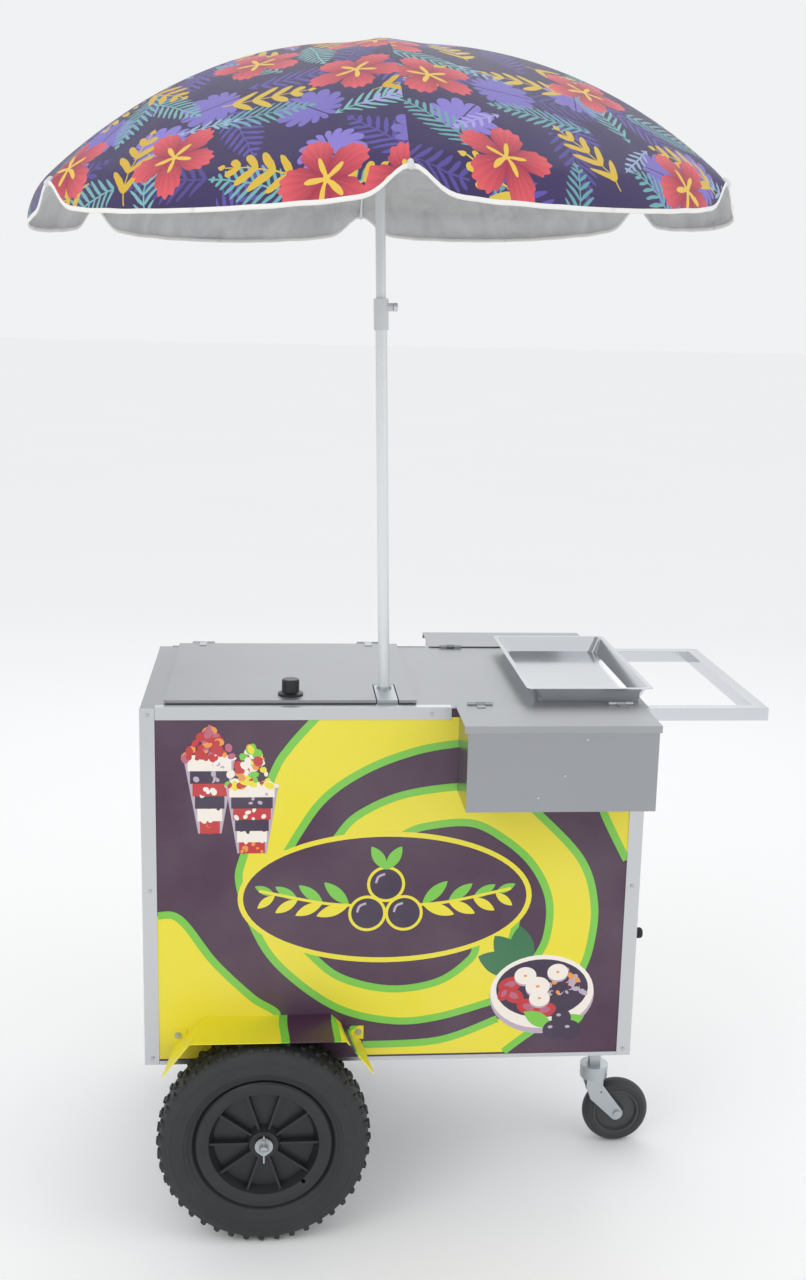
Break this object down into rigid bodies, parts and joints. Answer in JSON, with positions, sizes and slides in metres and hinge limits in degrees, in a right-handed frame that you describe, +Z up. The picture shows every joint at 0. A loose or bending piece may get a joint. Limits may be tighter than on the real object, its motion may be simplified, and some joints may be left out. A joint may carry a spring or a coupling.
{
  "type": "push vending cart",
  "caption": "Insulated steel vending cart on big side wheels and a swivel caster, with a hinged lid, hanging side boxes, counter tray, push handle and folding umbrella.",
  "frame": {"origin": "on the floor, below the middle of the whole cart's outline", "axes": "+X towards the push handle and caster, -Y towards the buyer's printed side, +Z up"},
  "size_m": [1.2121, 1.108, 1.9548],
  "materials": {
    "printed_panel": "glossy printed film on sheet steel, purple ground",
    "satin_sheet": "satin sheet steel",
    "galvanised": "galvanised steel",
    "stainless": "brushed stainless steel",
    "bright_trim": "bright aluminium angle",
    "zinc": "zinc plated steel",
    "foam": "rigid insulating foam",
    "black_rubber": "black rubber",
    "lid_panel": "stainless skin on a foam core",
    "black_knob": "black moulded plastic",
    "pale_plastic": "pale moulded nylon",
    "tray_steel": "bright stainless steel",
    "tyre": "black tyre rubber",
    "black_rim": "black moulded nylon",
    "caster_tread": "dark rubber",
    "caster_core": "dark moulded plastic",
    "pole_metal": "silver enamelled steel tube",
    "rib_wire": "silver enamelled steel wire",
    "canopy_fabric": "printed umbrella cloth, purple ground"
  },
  "bodies": {
    "cart": {"front_panel": "printed_panel", "back_panel": "printed_panel", "side_panels": "satin_sheet", "floor_pan": "galvanised", "worktop": "stainless", "corner_trims": "bright_trim", "edge_trims": "bright_trim", "panel_screws": "zinc", "tube_frame": "galvanised", "insulation": "foam", "inner_tub": "stainless", "lid_gasket": "black_rubber", "umbrella_socket": "stainless", "drain_pipe": "zinc", "lid_hinges": "zinc", "front_box": "stainless", "back_box": "stainless", "box_hinges": "zinc", "push_handle": "stainless", "axle": "zinc", "axle_washers": "zinc", "split_pins": "zinc", "axle_brackets": "galvanised", "front_fender": "printed_panel", "back_fender": "printed_panel", "caster_post": "zinc"},
    "drain_cap_body": {"drain_cap": "black_rubber"},
    "lid_body": {"lid": "lid_panel", "lid_knob": "black_knob", "lid_hinge_leaves": "zinc"},
    "front_box_lid_body": {"front_box_lid": "stainless"},
    "back_box_lid_body": {"back_box_lid": "stainless"},
    "tray_body": {"tray": "tray_steel"},
    "front_wheel": {"front_tyre": "tyre", "front_rim": "black_rim"},
    "back_wheel": {"back_tyre": "tyre", "back_rim": "black_rim"},
    "caster_swivel_body": {"caster_fork": "zinc", "caster_axle": "zinc"},
    "caster_wheel": {"caster_tread": "caster_tread", "caster_core": "caster_core"},
    "pole": {"lower_pole": "pole_metal", "pole_clamp": "pale_plastic"},
    "screw_body": {"clamp_screw": "pale_plastic"},
    "mast_body": {"mast": "pole_metal", "crown": "pale_plastic", "canopy": "canopy_fabric"},
    "runner_body": {"runner": "pale_plastic"},
    "rib_body_1": {"rib_1": "rib_wire"},
    "strut_body_1": {"strut_1": "rib_wire"},
    "rib_body_2": {"rib_2": "rib_wire"},
    "strut_body_2": {"strut_2": "rib_wire"},
    "rib_body_3": {"rib_3": "rib_wire"},
    "strut_body_3": {"strut_3": "rib_wire"},
    "rib_body_4": {"rib_4": "rib_wire"},
    "strut_body_4": {"strut_4": "rib_wire"},
    "rib_body_5": {"rib_5": "rib_wire"},
    "strut_body_5": {"strut_5": "rib_wire"},
    "rib_body_6": {"rib_6": "rib_wire"},
    "strut_body_6": {"strut_6": "rib_wire"}
  },
  "joints": [
    {"name": "lid_hinge", "type": "hinge", "parent": "cart", "child": "lid_body", "pos_m": [-0.352, 0.351, 0.914], "axis": [-1, 0, 0], "range_deg": [0, 100]},
    {"name": "front_box_lid_hinge", "type": "hinge", "parent": "cart", "child": "front_box_lid_body", "pos_m": [0.12, -0.092, 0.912], "axis": [-1, 0, 0], "range_deg": [0, 92]},
    {"name": "back_box_lid_hinge", "type": "hinge", "parent": "cart", "child": "back_box_lid_body", "pos_m": [0.12, 0.338, 0.912], "axis": [1, 0, 0], "range_deg": [0, 92]},
    {"name": "tray_lift", "type": "slide", "parent": "cart", "child": "tray_body", "axis": [0, 0, 1], "range_m": [0, 0.06]},
    {"name": "drain_cap_pull", "type": "slide", "parent": "cart", "child": "drain_cap_body", "axis": [1, 0, 0], "range_m": [0, 0.03]},
    {"name": "front_wheel_spin", "type": "hinge", "parent": "cart", "child": "front_wheel", "pos_m": [-0.233, -0.167, 0.18], "axis": [0, 1, 0], "continuous": true},
    {"name": "back_wheel_spin", "type": "hinge", "parent": "cart", "child": "back_wheel", "pos_m": [-0.233, 0.413, 0.18], "axis": [0, 1, 0], "continuous": true},
    {"name": "caster_swivel", "type": "hinge", "parent": "cart", "child": "caster_swivel_body", "pos_m": [0.388, 0.097, 0.136], "axis": [0, 0, 1], "continuous": true},
    {"name": "caster_wheel_spin", "type": "hinge", "parent": "caster_swivel_body", "child": "caster_wheel", "pos_m": [0.432, 0.097, 0.0625], "axis": [0, 1, 0], "continuous": true},
    {"name": "pole_lift", "type": "slide", "parent": "cart", "child": "pole", "axis": [-0.0262, 0, 0.9997], "range_m": [0, 0.25]},
    {"name": "clamp_screw_turn", "type": "hinge", "parent": "pole", "child": "screw_body", "pos_m": [-0.04043, 0, 1.547], "axis": [0.9997, 0, 0.0262], "continuous": true},
    {"name": "mast_slide", "type": "slide", "parent": "pole", "child": "mast_body", "axis": [-0.0262, 0, 0.9997], "range_m": [-0.06, 0.15]},
    {"name": "runner_slide", "type": "slide", "parent": "mast_body", "child": "runner_body", "axis": [0.0262, 0, -0.9997], "range_m": [0, 0.1298]},
    {"name": "rib_1_hinge", "type": "hinge", "parent": "mast_body", "child": "rib_body_1", "pos_m": [-0.05888, -0.013, 1.93465], "axis": [0.9997, 0, 0.0262], "range_deg": [0, 62.2]},
    {"name": "strut_1_hinge", "type": "hinge", "parent": "runner_body", "child": "strut_body_1", "pos_m": [-0.0605, -0.013, 1.79756], "axis": [-0.9997, 0, -0.0262], "range_deg": [0, 22.6]},
    {"name": "rib_2_hinge", "type": "hinge", "parent": "mast_body", "child": "rib_body_2", "pos_m": [-0.04763, -0.0065, 1.93494], "axis": [0.4998, 0.866, 0.0131], "range_deg": [0, 62.2]},
    {"name": "strut_2_hinge", "type": "hinge", "parent": "runner_body", "child": "strut_body_2", "pos_m": [-0.04664, -0.011, 1.79792], "axis": [-0.4998, -0.866, -0.0131], "range_deg": [0, 22.6]},
    {"name": "rib_3_hinge", "type": "hinge", "parent": "mast_body", "child": "rib_body_3", "pos_m": [-0.04763, 0.0065, 1.93494], "axis": [-0.4998, 0.866, -0.0131], "range_deg": [0, 62.2]},
    {"name": "strut_3_hinge", "type": "hinge", "parent": "runner_body", "child": "strut_body_3", "pos_m": [-0.04144, 0.002, 1.79806], "axis": [0.4998, -0.866, 0.0131], "range_deg": [0, 22.6]},
    {"name": "rib_4_hinge", "type": "hinge", "parent": "mast_body", "child": "rib_body_4", "pos_m": [-0.05888, 0.013, 1.93465], "axis": [-0.9997, 0, -0.0262], "range_deg": [0, 62.2]},
    {"name": "strut_4_hinge", "type": "hinge", "parent": "runner_body", "child": "strut_body_4", "pos_m": [-0.0501, 0.013, 1.79783], "axis": [0.9997, 0, 0.0262], "range_deg": [0, 22.6]},
    {"name": "rib_5_hinge", "type": "hinge", "parent": "mast_body", "child": "rib_body_5", "pos_m": [-0.07014, 0.0065, 1.93435], "axis": [-0.4998, -0.866, -0.0131], "range_deg": [0, 62.2]},
    {"name": "strut_5_hinge", "type": "hinge", "parent": "runner_body", "child": "strut_body_5", "pos_m": [-0.06395, 0.011, 1.79747], "axis": [0.4998, 0.866, 0.0131], "range_deg": [0, 22.6]},
    {"name": "rib_6_hinge", "type": "hinge", "parent": "mast_body", "child": "rib_body_6", "pos_m": [-0.07014, -0.0065, 1.93435], "axis": [0.4998, -0.866, 0.0131], "range_deg": [0, 62.2]},
    {"name": "strut_6_hinge", "type": "hinge", "parent": "runner_body", "child": "strut_body_6", "pos_m": [-0.06915, -0.002, 1.79733], "axis": [-0.4998, 0.866, -0.0131], "range_deg": [0, 22.6]}
  ],
  "couplings": [
    {"joint": "rib_1_hinge", "follows": "runner_slide", "rad_per_m": 8.3333},
    {"joint": "strut_1_hinge", "follows": "runner_slide", "rad_per_m": 3},
    {"joint": "rib_2_hinge", "follows": "runner_slide", "rad_per_m": 8.3333},
    {"joint": "strut_2_hinge", "follows": "runner_slide", "rad_per_m": 3},
    {"joint": "rib_3_hinge", "follows": "runner_slide", "rad_per_m": 8.3333},
    {"joint": "strut_3_hinge", "follows": "runner_slide", "rad_per_m": 3},
    {"joint": "rib_4_hinge", "follows": "runner_slide", "rad_per_m": 8.3333},
    {"joint": "strut_4_hinge", "follows": "runner_slide", "rad_per_m": 3},
    {"joint": "rib_5_hinge", "follows": "runner_slide", "rad_per_m": 8.3333},
    {"joint": "strut_5_hinge", "follows": "runner_slide", "rad_per_m": 3},
    {"joint": "rib_6_hinge", "follows": "runner_slide", "rad_per_m": 8.3333},
    {"joint": "strut_6_hinge", "follows": "runner_slide", "rad_per_m": 3}
  ]
}
